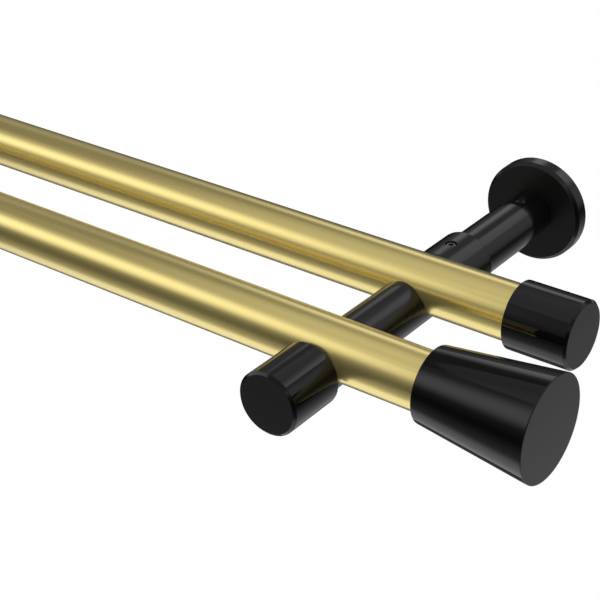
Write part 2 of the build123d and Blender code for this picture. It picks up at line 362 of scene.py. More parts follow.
def make_pale_paper():
    finish, sheet, place = start_finish("pale floor")
    seen, mirrored, passed = (
        sheet.node("ShaderNodeLightPath", output=kind)
        for kind in ("Is Camera Ray", "Is Glossy Ray", "Is Transmission Ray")
    )
    glow_share = (seen + mirrored + passed).apply("MINIMUM", 1.0)
    below = sheet.node("ShaderNodeNewGeometry", output="Backfacing")
    kept = sheet.smooth_step(sheet.part(place, "Y"), FRONT_FADE[1], FRONT_FADE[0])
    kept = kept * sheet.smooth_step(sheet.part(place, "X"), LEFT_FADE[1], LEFT_FADE[0])
    clear_share = 1.0 - (1.0 - below) * kept
    matt = sheet.node("ShaderNodeBsdfDiffuse", None, {"Color": PAPER})
    glow = sheet.node("ShaderNodeEmission", None, {"Strength": PAPER_GLOW * glow_share})
    lit_paper = sheet.node("ShaderNodeAddShader", None, {0: matt, 1: glow})
    clear = sheet.node("ShaderNodeBsdfTransparent")
    surface = sheet.node("ShaderNodeMixShader", None, {0: clear_share, 1: lit_paper, 2: clear})
    sheet.node("ShaderNodeOutputMaterial", None, {"Surface": surface})
    return finish


pale_paper = make_pale_paper()
print("made", pale_paper.name)

# %% Floor
FLOOR_HEIGHT = -0.80
FLOOR_EDGES = (-1.1, 1.1, -0.90, 0.02)


def add_object(name, mesh):
    made = bpy.data.objects.new(name, mesh)
    bpy.context.scene.collection.objects.link(made)
    return made


def make_floor():
    x0, x1, y0, y1 = FLOOR_EDGES
    mesh = bpy.data.meshes.new("floor")
    corners = [(x0, y0), (x1, y0), (x1, y1), (x0, y1)]
    mesh.from_pydata([(x, y, FLOOR_HEIGHT) for x, y in corners], [], [(0, 1, 2, 3)])
    mesh.materials.append(pale_paper)
    add_object("floor", mesh)


make_floor()
print("floor at", FLOOR_HEIGHT, "m, edges", FLOOR_EDGES)

# %% [markdown]
# ## Finishes: what all have in common
# Every finish here is a Principled surface whose fine detail comes from Object coordinates.
# All pieces keep their object at the origin, so these coordinates are simply metres in the
# room, and the drawing lines of a tube can run along X without any unwrapping.

# %% Helpers of the finishes
def end_finish(sheet, colour, roughness, relief, **constants):
    """A Principled surface with what varies, and with constants for its other sockets."""
    inputs = {"Base Color": colour, "Roughness": roughness, "Normal": relief}
    inputs |= {socket.replace("_", " "): value for socket, value in constants.items()}
    surface = sheet.node("ShaderNodeBsdfPrincipled", None, inputs)
    sheet.node("ShaderNodeOutputMaterial", None, {"Surface": surface})


def noise(sheet, place, scale, detail=2.0):
    return sheet.node(
        "ShaderNodeTexNoise", None, {"Vector": place, "Scale": scale, "Detail": detail}
    )


def stretched(sheet, place, factors):
    return sheet.node("ShaderNodeVectorMath", {"operation": "MULTIPLY"}, {0: place, 1: factors})


def bump(sheet, height, depth, strength):
    return sheet.node(
        "ShaderNodeBump", None, {"Height": height, "Distance": depth, "Strength": strength}
    )


print("finish helpers ready")

# %% [markdown]
# ## Satin brass
# A drawn tube is pulled through a die, and then brushed and lacquered. Three things show:
# fine lines along the tube, a soft gloss that varies a little from line to line, and a faint
# cloudiness of the tone. A picture of brushed metal could be wrapped round, but it would
# repeat along a metre of tube. Noise that is squeezed hard across the tube and hardly along
# it gives lines that never repeat, and the same lines carry roughness and bump, as they do
# on the real tube.
# The clear lacquer is the shader's coat: it adds a little colourless reflection, most of it
# where the tube turns away from the eye, and so the edges are greyer than the middle.

# %% Brass finish
BRASS_DARK, BRASS_LIGHT = (0.885, 0.726, 0.266, 1), (0.975, 0.800, 0.294, 1)
LINE_STRETCH, BAND_STRETCH = (6.0, 4500.0, 4500.0), (1.5, 650.0, 650.0)
BRASS_ROUGHNESS, BAND_SHARE, TONE_RANGE = 0.24, 0.7, (0.32, 0.68)
METAL_SHARE, LACQUER_COAT = 0.9, {"Coat_Weight": 0.5, "Coat_Roughness": 0.22, "Coat_IOR": 1.5}


def make_satin_brass():
    finish, sheet, place = start_finish("satin_brass")
    lines = noise(sheet, stretched(sheet, place, LINE_STRETCH), scale=1.0)
    bands = noise(sheet, stretched(sheet, place, BAND_STRETCH), scale=1.0)
    cloud = noise(sheet, place, scale=9.0)
    tone = cloud * (1.0 - BAND_SHARE) + bands * BAND_SHARE
    tone = sheet.smooth_step(tone, *TONE_RANGE)
    colour = sheet.mix_colour(tone, BRASS_DARK, BRASS_LIGHT)
    roughness = BRASS_ROUGHNESS + 0.06 * (lines - 0.5) + 0.08 * (bands - 0.5)
    relief = bump(sheet, lines, depth=0.001 * MM, strength=0.3)
    end_finish(sheet, colour, roughness, relief, Metallic=METAL_SHARE, **LACQUER_COAT)
    return finish


satin_brass = make_satin_brass()
print("made", satin_brass.name)

# %% [markdown]
# ## Black lacquer
# The turned parts are sprayed black and cured to a high gloss. Lacquer is never quite flat:
# it has a faint orange-peel swell a few millimetres wide, and its gloss varies a little with
# the thickness of the coat. Both are kept so small that the edges of the lamps stay crisp.
# The broad face of the wall disc is more matt, so that it shows the neck only as a soft
# shadow. The face is a thin layer at one distance from the wall, which the Object
# coordinate picks out.

# %% Lacquer finish
LACQUER_DARK, LACQUER_LIGHT = (0.0016, 0.0016, 0.0017, 1), (0.0032, 0.0032, 0.0034, 1)
LACQUER_IOR, DISC_FACE, FACE_LAYER = 1.45, 6.0, (0.05, 0.10)


def make_black_lacquer(name, base, face=None):
    """A lacquer with this base roughness, and with another on the wall disc's face."""
    finish, sheet, place = start_finish(name)
    swell = noise(sheet, place, scale=260.0, detail=1.0)
    haze = noise(sheet, place, scale=60.0, detail=3.0)
    colour = sheet.mix_colour(haze, LACQUER_DARK, LACQUER_LIGHT)
    roughness = base + 0.04 * haze
    if face is not None:
        off_face = (sheet.part(place, "Y") + DISC_FACE * MM).apply("ABSOLUTE")
        on_face = 1.0 - sheet.smooth_step(off_face, *(limit * MM for limit in FACE_LAYER))
        roughness = roughness + (face - roughness) * on_face
    relief = bump(sheet, swell, depth=0.01 * MM, strength=0.35)
    end_finish(sheet, colour, roughness, relief, IOR=LACQUER_IOR)
    return finish


black_lacquer = make_black_lacquer("black_lacquer", base=0.03)
arm_lacquer = make_black_lacquer("arm_lacquer", base=0.14)
disc_lacquer = make_black_lacquer("disc_lacquer", base=0.12, face=0.33)
print("made", [finish.name for finish in (black_lacquer, arm_lacquer, disc_lacquer)])

# %% [markdown]
# ## Blackened screws and zinc
# The set screws are blackened steel: dark, a little oily, with a fine grain from the bath.
# The wall plates and their spigots are zinc plated: pale, with small crystals that each shine
# a little differently. Noise would blur the crystals into clouds, so a Voronoi pattern gives
# every crystal its own value.

# %% Screw and zinc finishes
STEEL_DARK, STEEL_LIGHT = (0.020, 0.020, 0.0205, 1), (0.036, 0.0355, 0.035, 1)
ZINC_DARK, ZINC_LIGHT = (0.56, 0.57, 0.59, 1), (0.68, 0.69, 0.70, 1)
OILY_IOR, ROLLING_STRETCH = 1.8, (30.0, 900.0, 900.0)


def make_blackened_steel():
    finish, sheet, place = start_finish("blackened_steel")
    grain = noise(sheet, place, scale=4000.0)
    stain = noise(sheet, place, scale=500.0)
    colour = sheet.mix_colour(stain, STEEL_DARK, STEEL_LIGHT)
    roughness = 0.18 + 0.12 * stain
    relief = bump(sheet, grain, depth=0.003 * MM, strength=0.4)
    end_finish(sheet, colour, roughness, relief, IOR=OILY_IOR)
    return finish


def make_bright_zinc():
    finish, sheet, place = start_finish("bright_zinc")
    crystals = sheet.node(
        "ShaderNodeTexVoronoi", None, {"Vector": place, "Scale": 900.0}, output="Color"
    )
    value = sheet.node("ShaderNodeSeparateColor", None, {0: crystals})
    rolling = noise(sheet, stretched(sheet, place, ROLLING_STRETCH), scale=1.0, detail=3.0)
    colour = sheet.mix_colour(value, ZINC_DARK, ZINC_LIGHT)
    roughness = 0.30 + 0.12 * value
    relief = bump(sheet, rolling, depth=0.01 * MM, strength=0.4)
    end_finish(sheet, colour, roughness, relief, Metallic=1.0)
    return finish


blackened_steel = make_blackened_steel()
bright_zinc = make_bright_zinc()
for node in ("wall_plate_right", "wall_plate_left", "wall_spigot_right", "wall_spigot_left"):
    frame["nodes"][node].data.materials[0] = bright_zinc
print("made", blackened_steel.name, "and", bright_zinc.name)

# %% [markdown]
# ## Turning a piece
# Every bracket part is turned on a lathe, so it is a profile spun about an axis. `Turning`
# keeps that profile as (distance along the axis, radius, rounding) corners. Each corner gets
# a real small arc, because a broken edge is what catches the light. The class also knows
# the exact normal at any point of the surface, which Blender's Screw modifier would not tell.
# Black gloss shows the smallest fault of shading, and after a hole is cut the long thin faces
# would shade badly without it.

# %% Corners and faces
ARC_STEPS = 4


def rounded_corner(before, corner, after, rounding, turn_sign):
    """The points of one corner with the normals on both sides of each."""
    into = (corner - before).normalized()
    out = (after - corner).normalized()
    normal_in = Vector((into.y, -into.x)) * turn_sign
    normal_out = Vector((out.y, -out.x)) * turn_sign
    if rounding == 0:
        return [(corner, normal_in, normal_out)]
    angle = into.angle(out)
    start = corner - into * rounding * math.tan(angle / 2)
    convex = (into.x * out.y - into.y * out.x) * turn_sign > 0
    middle = start - normal_in * rounding if convex else start + normal_in * rounding
    points = []
    for step in range(ARC_STEPS + 1):
        normal = normal_in.slerp(normal_out, step / ARC_STEPS)
        offset = normal * rounding if convex else normal * -rounding
        points.append((middle + offset, normal, normal))
    return points


def fix_outside(mesh):
    """Turns every face outwards."""
    work = bmesh.new()
    work.from_mesh(mesh)
    bmesh.ops.recalc_face_normals(work, faces=work.faces)
    work.to_mesh(mesh)
    work.free()


print("an edge's arc has", ARC_STEPS, "steps")

# %% Turning
STEPS_ROUND = 144
ON_AXIS, TINY = 1e-9, 1e-9


class Turning:
    """A profile in millimetres, spun about a line in the room."""

    def __init__(self, origin, along, corners, steps=STEPS_ROUND):
        self.origin = np.array(origin, float)
        self.along = np.array(along, float)
        other = (0.0, 0.0, 1.0) if abs(self.along[2]) < 0.5 else (1.0, 0.0, 0.0)
        self.side = np.cross(self.along, other)
        self.steps = steps
        flat = [Vector((distance, radius)) * MM for distance, radius, _ in corners]
        doubled_area = sum(a.x * b.y - b.x * a.y for a, b in zip(flat, flat[1:] + flat[:1]))
        turn_sign = 1 if doubled_area > 0 else -1
        self.points = []
        for i, (_, _, rounding) in enumerate(corners):
            before, after = flat[i - 1], flat[(i + 1) % len(flat)]
            self.points += rounded_corner(before, flat[i], after, rounding * MM, turn_sign)
        self.place = np.array([tuple(p) for p, _, _ in self.points])
        self.normal_in = np.array([tuple(n) for _, n, _ in self.points])
        self.normal_out = np.array([tuple(n) for _, _, n in self.points])

    def ring(self, distance, radius):
        turns = np.arange(self.steps) * (2 * math.pi / self.steps)
        up = np.cross(self.side, self.along)
        spokes = np.outer(np.cos(turns), up) + np.outer(np.sin(turns), self.side)
        return self.origin + self.along * distance + spokes * radius

    def mesh(self, name):
        """The closed surface, with one vertex where the profile meets the axis."""
        vertices, rings, faces = [], [], []
        for distance, radius in self.place:
            first = len(vertices)
            if radius < ON_AXIS:
                vertices.append(tuple(self.origin + self.along * distance))
                rings.append([first] * self.steps)
            else:
                vertices += [tuple(v) for v in self.ring(distance, radius)]
                rings.append(list(range(first, first + self.steps)))
        for i, ring in enumerate(rings):
            following = rings[(i + 1) % len(rings)]
            for k in range(self.steps):
                j = (k + 1) % self.steps
                face = [ring[k], ring[j], following[j], following[k]]
                face = [v for n, v in enumerate(face) if v != face[n - 1]]
                if len(face) > 2:
                    faces.append(face)
        made = bpy.data.meshes.new(name)
        made.from_pydata(vertices, [], faces)
        fix_outside(made)
        return made

    def flatten(self, points):
        """Distance, radius and outward direction of points in the room."""
        offset = points - self.origin
        distance = offset @ self.along
        radial = offset - np.outer(distance, self.along)
        radius = np.linalg.norm(radial, axis=1)
        return distance, radius, radial / np.maximum(radius, TINY)[:, None]


print("lathe ready:", STEPS_ROUND, "steps round")

# %% [markdown]
# ## Exact shading
# For each face this finds the turning that it belongs to, the body's own or that of a cutter,
# by distance and by direction. Its corners then get the true normal of that profile.
# A cutter's surface faces the other way, so its sign is -1.

# %% Which profile a face belongs to
GAP_UNIT, TURN_WEIGHT = 0.01 * MM, 30
AT_AXIS = 0.001 * MM


def read_vectors(items, name):
    """One vector of each item of a mesh, as rows."""
    values = np.zeros(len(items) * 3)
    items.foreach_get(name, values)
    return values.reshape(-1, 3)


def nearest_segments(centres, facing, surfaces):
    """For each face the number of its turning and of that profile's segment."""
    best_cost = np.full(len(centres), np.inf)
    owner, segment = np.zeros(len(centres), int), np.zeros(len(centres), int)
    for number, (turning, sign) in enumerate(surfaces):
        distance, radius, spoke = turning.flatten(centres)
        for i in range(len(turning.place)):
            j = (i + 1) % len(turning.place)
            start, step = turning.place[i], turning.place[j] - turning.place[i]
            here = np.stack([distance, radius], axis=1) - start
            share = np.clip(here @ step / max(float(step @ step), TINY**2), 0, 1)
            gap = np.linalg.norm(here - np.outer(share, step), axis=1)
            middle = turning.normal_out[i] + turning.normal_in[j]
            middle = middle / max(np.linalg.norm(middle), TINY)
            normal = middle[0] * turning.along + middle[1] * spoke
            agreement = sign * np.einsum("ij,ij->i", normal, facing)
            cost = gap / GAP_UNIT + TURN_WEIGHT * (1 - agreement)
            better = cost < best_cost
            best_cost[better], owner[better], segment[better] = cost[better], number, i
    return owner, segment


print("a face's cost: its gap in", GAP_UNIT / MM, "mm steps and", TURN_WEIGHT, "for its turn")

# %% Normals from the profile
def true_normals(turning, segment, points, centres):
    """The profile's own normal at each point, on the segment of the point's face."""
    distance, radius, spoke = turning.flatten(points)
    centre_spoke = turning.flatten(centres)[2]
    spoke = np.where((radius < AT_AXIS)[:, None], centre_spoke, spoke)
    following = (segment + 1) % len(turning.place)
    start, step = turning.place[segment], turning.place[following] - turning.place[segment]
    here = np.stack([distance, radius], axis=1) - start
    length = np.maximum(np.einsum("ij,ij->i", step, step), TINY**2)
    share = np.clip(np.einsum("ij,ij->i", here, step) / length, 0, 1)[:, None]
    flat = turning.normal_out[segment] * (1 - share) + turning.normal_in[following] * share
    flat /= np.linalg.norm(flat, axis=1)[:, None]
    return flat[:, :1] * turning.along + flat[:, 1:] * spoke


def shade(mesh, surfaces):
    """surfaces is a list of (turning, sign). Sets the exact normal at each face corner."""
    centres = read_vectors(mesh.polygons, "center")
    owner, segment = nearest_segments(centres, read_vectors(mesh.polygons, "normal"), surfaces)
    vertices = read_vectors(mesh.vertices, "co")
    loop_vertex = np.zeros(len(mesh.loops), int)
    mesh.loops.foreach_get("vertex_index", loop_vertex)
    loop_face = np.repeat(np.arange(len(centres)), [p.loop_total for p in mesh.polygons])
    normals = np.zeros((len(mesh.loops), 3))
    for number, (turning, sign) in enumerate(surfaces):
        mine = owner[loop_face] == number
        face = loop_face[mine]
        points = vertices[loop_vertex[mine]]
        normals[mine] = sign * true_normals(turning, segment[face], points, centres[face])
    mesh.polygons.foreach_set("use_smooth", np.ones(len(centres), bool))
    mesh.normals_split_custom_set(normals.tolist())


print("exact normals ready")

# %% [markdown]
# ## From a profile to a finished piece
# A hole is cut with a Boolean modifier, whose result is taken as a plain mesh of its own. The
# shading comes after the cut, because the cut makes new faces. Then the piece gets its
# finish, and the measured solid that it stands for is hidden.

# %% Cutting and dressing
def keep_result(piece):
    """Makes the piece a plain mesh, as its modifiers leave it."""
    graph = bpy.context.evaluated_depsgraph_get()
    mesh = bpy.data.meshes.new_from_object(piece.evaluated_get(graph), depsgraph=graph)
    mesh.name = piece.data.name
    piece.modifiers.clear()
    piece.data = mesh


def turned_piece(name, body, cutters):
    """A turned body with its holes cut, as one plain mesh object."""
    piece = add_object(name, body.mesh(name))
    tools = []
    for cutter in cutters:
        tool = add_object("cutter", cutter.mesh("cutter"))
        cut = piece.modifiers.new("cut", "BOOLEAN")
        cut.operation, cut.solver, cut.object = "DIFFERENCE", "EXACT", tool
        tools.append(tool)
    keep_result(piece)
    for tool in tools:
        bpy.data.objects.remove(tool)
    shade(piece.data, [(body, 1)] + [(cutter, -1) for cutter in cutters])
    return piece


def dress(piece, finish, node):
    """Gives a finished piece its material and its place in the model."""
    piece.data.materials.clear()
    piece.data.materials.append(finish)
    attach(piece, "root")
    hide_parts(node)
    print(f"{piece.name}: {len(piece.data.polygons)} faces, stands for {node}")


print("cutting and dressing ready")

# %% [markdown]
# ## The two brass tubes, with Geometry Nodes
# A drawn tube follows one rule: a small rounded rectangle, the wall's section, goes once
# round a circle. The lathe could make it as well, but a Geometry Nodes tree says just that
# rule, and its named inputs are the sizes that someone would change. The tree's result is
# then taken as a plain mesh.

# %% How a tree starts, ends and runs
def new_tree(name, inputs):
    """An empty tree with named inputs, given as title, kind of socket and usual value."""
    tree = bpy.data.node_groups.new(name, "GeometryNodeTree")
    tree.interface.new_socket("Geometry", in_out="INPUT", socket_type="NodeSocketGeometry")
    for title, kind, value in inputs:
        socket = tree.interface.new_socket(title, in_out="INPUT", socket_type=kind)
        if value is not None:
            socket.default_value = value
    tree.interface.new_socket("Geometry", in_out="OUTPUT", socket_type="NodeSocketGeometry")
    sheet = Sheet(tree)
    titles = ["Geometry"] + [title for title, _, _ in inputs]
    return sheet, {title: sheet.node("NodeGroupInput", output=title) for title in titles}


def end_tree(sheet, geometry, finish):
    """Every tree ends alike: instances made real, and the finish put on."""
    real = sheet.node("GeometryNodeRealizeInstances", None, {"Geometry": geometry})
    coat = {"Geometry": real, "Material": finish}
    coated = sheet.node("GeometryNodeSetMaterial", None, coat)
    sheet.node("NodeGroupOutput", None, {"Geometry": coated})
    return sheet.tree


def grow(piece, tree, **values):
    """Runs a tree on a piece and keeps the result as a plain mesh. A modifier knows its
    inputs only by the identifiers of their sockets, so each name is looked up first. A
    swept or rolled shape may face inwards, so its faces are turned outwards at the end."""
    modifier = piece.modifiers.new(tree.name, "NODES")
    modifier.node_group = tree
    for item in tree.interface.items_tree:
        key = item.name.replace(" ", "_").lower()
        if item.in_out == "INPUT" and key in values:
            modifier[item.identifier] = values[key]
    keep_result(piece)
    fix_outside(piece.data)


print("tree helpers ready")

# %% Tree of a drawn tube
def drawn_tube_tree():
    sheet, given = new_tree(
        "drawn tube",
        [
            ("Length", "NodeSocketFloat", 1.0),
            ("Diameter", "NodeSocketFloat", 0.02),
            ("Wall", "NodeSocketFloat", 0.001),
            ("Edge", "NodeSocketFloat", 0.0002),
            ("Place", "NodeSocketVector", (0.0, 0.0, 0.0)),
            ("Finish", "NodeSocketMaterial", None),
        ],
    )
    middle = (given["Diameter"] - given["Wall"]) * 0.5
    circle = {"Resolution": STEPS_ROUND, "Radius": middle}
    path = sheet.node("GeometryNodeCurvePrimitiveCircle", None, circle)
    rectangle = {"Width": given["Wall"], "Height": given["Length"]}
    section = sheet.node("GeometryNodeCurvePrimitiveQuadrilateral", None, rectangle)
    fillet = {"Curve": section, "Radius": given["Edge"]}
    eased = sheet.node("GeometryNodeFilletCurve", None, fillet)
    sweep = {"Curve": path, "Profile Curve": eased}
    swept = sheet.node("GeometryNodeCurveToMesh", None, sweep)
    lay = {"Rotation": (0.0, math.pi / 2, 0.0), "Translation": given["Place"]}
    laid = sheet.node("GeometryNodeTransform", None, {"Geometry": swept} | lay)
    return end_tree(sheet, laid, given["Finish"])


tube_tree = drawn_tube_tree()
print("tree:", tube_tree.name, "with", len(tube_tree.nodes), "nodes")

# %% Front and rear pole
TUBE_WALL = 1.0
TUBE_EDGE = 0.2


def make_pole(node):
    low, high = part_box(node)
    middle = (low + high) / 2
    length, diameter = high.x - low.x, high.z - low.z
    piece = add_object(node + "_tube", bpy.data.meshes.new(node))
    grow(
        piece,
        tube_tree,
        length=length,
        diameter=diameter,
        wall=TUBE_WALL * MM,
        edge=TUBE_EDGE * MM,
        place=tuple(middle),
        finish=satin_brass,
    )
    half, radius = length / 2 / MM, diameter / 2 / MM
    inner = radius - TUBE_WALL
    section = [(-half, inner), (-half, radius), (half, radius), (half, inner)]
    corners = [(distance, reach, TUBE_EDGE) for distance, reach in section]
    shade(piece.data, [(Turning(tuple(middle), (1, 0, 0), corners), 1)])
    dress(piece, satin_brass, node)
    return piece


for node in ("front_pole", "rear_pole"):
    made = make_pole(node)
    print(node, "measures", tuple(round(side, 4) for side in made.dimensions), "m")

# %% [markdown]
# ## Screw holes
# Every set screw sits in a threaded hole that is cut across a turned piece. The mouth of
# such a hole is countersunk a little, and that bright ring is what the eye finds first. The
# cutter is a turning as well: a thin rod that opens into a cone just above the surface.

# %% Hole cutter
SINK, FLARE_ABOVE, CUTTER_ABOVE = 0.18, 0.15, 2.0
HOLE_STEPS = 64


def screw_hole(x, y, mouth, radius, upwards=True, depth_from=0.0):
    """A round cutter from the arm's axis out through the surface. mouth is the height of the
    surface above (or below) the axis, in millimetres; x and y are metres."""
    wide = radius + SINK + FLARE_ABOVE
    corners = [
        (depth_from, 0, 0), (depth_from, radius, 0), (mouth - SINK, radius, 0),
        (mouth + FLARE_ABOVE, wide, 0), (mouth + CUTTER_ABOVE, wide, 0),
        (mouth + CUTTER_ABOVE, 0, 0),
    ]
    return Turning((x, y, 0.0), (0, 0, 1 if upwards else -1), corners, steps=HOLE_STEPS)


print("hole cutter ready, countersink", SINK, "mm")

# %% [markdown]
# ## The two brackets
# From the wall into the room a bracket is rosette, arm tube, sleeve, saddle bar and front
# cap. All distances below are millimetres from the wall. Cylinders that are joined and cut
# would make each part as well. Here each is one closed outline that runs round its bore and
# its outside, because that can be read like a drawing. Both brackets are the same, so each
# function makes its part at any x.

# %% Sizes of a bracket
NECK_SCREW, SLEEVE_SCREW, CAP_SCREW = 14.7, 62.95, 150.05
REAR_POLE, FRONT_POLE, POLE_RISE = 83.0, 134.5, 5.25
SEAT_RADIUS, SEAT_HALF = 10.05, 14.0
SCREW_RADIUS, PASS_RADIUS = 2.05, 2.25
DISC_RADIUS, DISC_BORE, DISC_CHAMFER, PLATE_FRONT = 19.75, 17.1, 1.2, 3.05
NECK_RADIUS, NECK_BORE, NECK_END, SPIGOT_END = 8.5, 5.05, 19.6, 17.5
NOSE_RADIUS, NOSE_CHAMFER, NOSE_END = 7.48, 0.8, 31.6
ARM_RADIUS, ARM_BORE, ARM_START, ARM_END = 9.0, 7.5, 19.65, 70.3
SLEEVE_RADIUS, SLEEVE_BORE, SLEEVE_START, SLEEVE_END = 11.0, 9.05, 52.95, 72.95
BAR_NECK, BAR_NECK_CHAMFER, BAR_START, BAR_SHOULDER, BAR_END = 7.45, 0.7, 40.35, 70.35, 155.05
BAR_HOLE_FROM = 7.65
CAP_RADIUS, CAP_CHAMFER, CAP_START, CAP_BOTTOM, CAP_END = 11.1, 0.9, 144.55, 155.55, 166.75
BROKEN, CRISP, CHAMFERED, SOFT = 0.1, 0.15, 0.2, 0.4  # roundings of the edges
print("a bracket reaches", CAP_END, "mm from the wall")

# %% [markdown]
# ## Rosette
# The rosette is wall disc, neck and nose in one. It hides the wall plate in its recess,
# slides over the plate's spigot and is held there by a set screw in the top of its neck. Its
# nose carries the arm tube. Only the neck's hole has to be cut, as all else is outline.

# %% Rosette
def on_arm(x, corners):
    return Turning((x, 0.0, 0.0), (0, -1, 0), corners)


def make_rosette(x, name):
    body = on_arm(
        x,
        [
            (0, DISC_BORE, BROKEN), (0, DISC_RADIUS, CRISP),
            (DISC_FACE - DISC_CHAMFER, DISC_RADIUS, CHAMFERED),
            (DISC_FACE, DISC_RADIUS - DISC_CHAMFER, CHAMFERED), (DISC_FACE, NECK_RADIUS, 0),
            (NECK_END, NECK_RADIUS, CHAMFERED), (NECK_END, NOSE_RADIUS, 0),
            (NOSE_END - NOSE_CHAMFER, NOSE_RADIUS, BROKEN),
            (NOSE_END, NOSE_RADIUS - NOSE_CHAMFER, BROKEN), (NOSE_END, 0, 0),
            (SPIGOT_END, 0, 0), (SPIGOT_END, NECK_BORE, 0),
            (PLATE_FRONT, NECK_BORE, BROKEN), (PLATE_FRONT, DISC_BORE, BROKEN),
        ],
    )
    hole = screw_hole(x, -NECK_SCREW * MM, NECK_RADIUS, SCREW_RADIUS)
    return turned_piece(name, body, [hole])


print("the wall disc is", 2 * DISC_RADIUS, "mm across")

# %% [markdown]
# ## Arm tube and sleeve
# The arm tube joins rosette and saddle bar. The sleeve covers the joint at its far end, and
# its set screw passes through a wider hole in the tube and presses on the bar. Both are
# plain rings with one hole, so one function makes either.

# %% Arm tube and sleeve
def make_ring(x, name, start, end, bore, radius, end_edge, hole_radius):
    outside = [(start, radius, SOFT), (end, radius, end_edge)]
    body = on_arm(x, [(start, bore, BROKEN), *outside, (end, bore, BROKEN)])
    hole = screw_hole(x, -SLEEVE_SCREW * MM, radius, hole_radius)
    return turned_piece(name, body, [hole])


def make_arm_tube(x, name):
    sizes = ARM_START, ARM_END, ARM_BORE, ARM_RADIUS
    return make_ring(x, name, *sizes, BROKEN, PASS_RADIUS)


def make_sleeve(x, name):
    sizes = SLEEVE_START, SLEEVE_END, SLEEVE_BORE, SLEEVE_RADIUS
    return make_ring(x, name, *sizes, SOFT, SCREW_RADIUS)


print("the sleeve is", SLEEVE_END - SLEEVE_START, "mm long")

# %% [markdown]
# ## Saddle bar
# The bar carries both poles. Its thin neck goes into the arm tube. Each pole lies in a round
# seat that is cut across the bar, and the cut leaves a curved edge beside the pole. The
# seat's cutter is a short rod along X, a little wider than the pole, because that gives the
# true curve. A screw from below clamps each pole, and a shallow hole near the end takes the
# tip of the front cap's screw.

# %% Saddle bar
def make_saddle_bar(x, name):
    body = on_arm(
        x,
        [
            (BAR_START, 0, 0), (BAR_START, BAR_NECK - BAR_NECK_CHAMFER, BROKEN),
            (BAR_START + BAR_NECK_CHAMFER, BAR_NECK, BROKEN), (BAR_SHOULDER, BAR_NECK, 0),
            (BAR_SHOULDER, ARM_RADIUS, BROKEN), (BAR_END, ARM_RADIUS, CHAMFERED),
            (BAR_END, 0, 0),
        ],
    )
    seat = [
        (-SEAT_HALF, 0, 0), (-SEAT_HALF, SEAT_RADIUS, 0),
        (SEAT_HALF, SEAT_RADIUS, 0), (SEAT_HALF, 0, 0),
    ]
    cutters = []
    for distance in (REAR_POLE, FRONT_POLE):
        cutters.append(Turning((x, -distance * MM, POLE_RISE * MM), (1, 0, 0), seat))
        cutters.append(screw_hole(x, -distance * MM, ARM_RADIUS, SCREW_RADIUS, upwards=False))
    cutters.append(
        screw_hole(x, -CAP_SCREW * MM, ARM_RADIUS, PASS_RADIUS, False, BAR_HOLE_FROM)
    )
    return turned_piece(name, body, cutters)


print("the poles lie", REAR_POLE, "and", FRONT_POLE, "mm from the wall")

# %% [markdown]
# ## Front cap
# The cap closes the room end of the bar. It is a cup with a sharp chamfer, whose thin bright
# ring shows in the photograph, and one screw from below holds it.

# %% Front cap
def make_front_cap(x, name):
    body = on_arm(
        x,
        [
            (CAP_START, SLEEVE_BORE, BROKEN), (CAP_START, CAP_RADIUS, SOFT),
            (CAP_END - CAP_CHAMFER, CAP_RADIUS, CRISP),
            (CAP_END, CAP_RADIUS - CAP_CHAMFER, CRISP), (CAP_END, 0, 0),
            (CAP_BOTTOM, 0, 0), (CAP_BOTTOM, SLEEVE_BORE, 0),
        ],
    )
    hole = screw_hole(x, -CAP_SCREW * MM, CAP_RADIUS, SCREW_RADIUS, upwards=False)
    return turned_piece(name, body, [hole])


print("the front cap is", 2 * CAP_RADIUS, "mm across")

# %% Make both brackets
BRACKET = {
    "rosette": make_rosette,
    "arm_tube": make_arm_tube,
    "sleeve": make_sleeve,
    "saddle_bar": make_saddle_bar,
    "front_cap": make_front_cap,
}
bracket_x = {}
for side in ("right", "left"):
    low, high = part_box("arm_tube_" + side)
    bracket_x[side] = (low.x + high.x) / 2
    for part, make in BRACKET.items():
        node = f"{part}_{side}"
        piece = make(bracket_x[side], "black_" + node)
        finish = {"rosette": disc_lacquer, "front_cap": black_lacquer}.get(part, arm_lacquer)
        dress(piece, finish, node)
print("the brackets stand at x =", [round(x / MM, 1) for x in bracket_x.values()], "mm")

# %% [markdown]
# ## End pieces of the poles
# The plain cap and the flared finial are turned too, but about the pole's axis. A cylinder
# and a cone would do for their outsides, but the outline gives bore and rims as well. The
# left ones are the same outlines with the axis pointing the other way.

# %% End caps and finials
END_START, END_BOTTOM, END_SCREW, END_SCREW_RADIUS = 480.0, 500.5, 488.0, 1.55
END_CAP_RADIUS, END_CAP_CHAMFER, END_CAP_END = 12.0, 0.9, 503.3
FINIAL_NARROW, FINIAL_AT_SCREW, FINIAL_WIDE, FINIAL_END = 12.8, 13.73, 17.5, 520.3
END_EDGE, FINIAL_EDGE = 0.25, 0.3


def end_piece(sign, name, distance, outside, mouth):
    """An end piece on the pole at this distance, with its bore and the hole of its screw."""
    place = (0.0, -distance * MM, POLE_RISE * MM)
    bore = [(END_BOTTOM, 0, 0), (END_BOTTOM, SEAT_RADIUS, 0)]
    corners = [(END_START, SEAT_RADIUS, BROKEN), *outside, *bore]
    hole = screw_hole(
        sign * END_SCREW * MM, place[1], mouth - POLE_RISE, END_SCREW_RADIUS, upwards=False
    )
    return turned_piece(name, Turning(place, (sign, 0, 0), corners), [hole])


def make_end_cap(sign, name):
    outside = [
        (END_START, END_CAP_RADIUS, END_EDGE),
        (END_CAP_END - END_CAP_CHAMFER, END_CAP_RADIUS, CRISP),
        (END_CAP_END, END_CAP_RADIUS - END_CAP_CHAMFER, CRISP),
        (END_CAP_END, 0, 0),
    ]
    return end_piece(sign, name, REAR_POLE, outside, END_CAP_RADIUS)


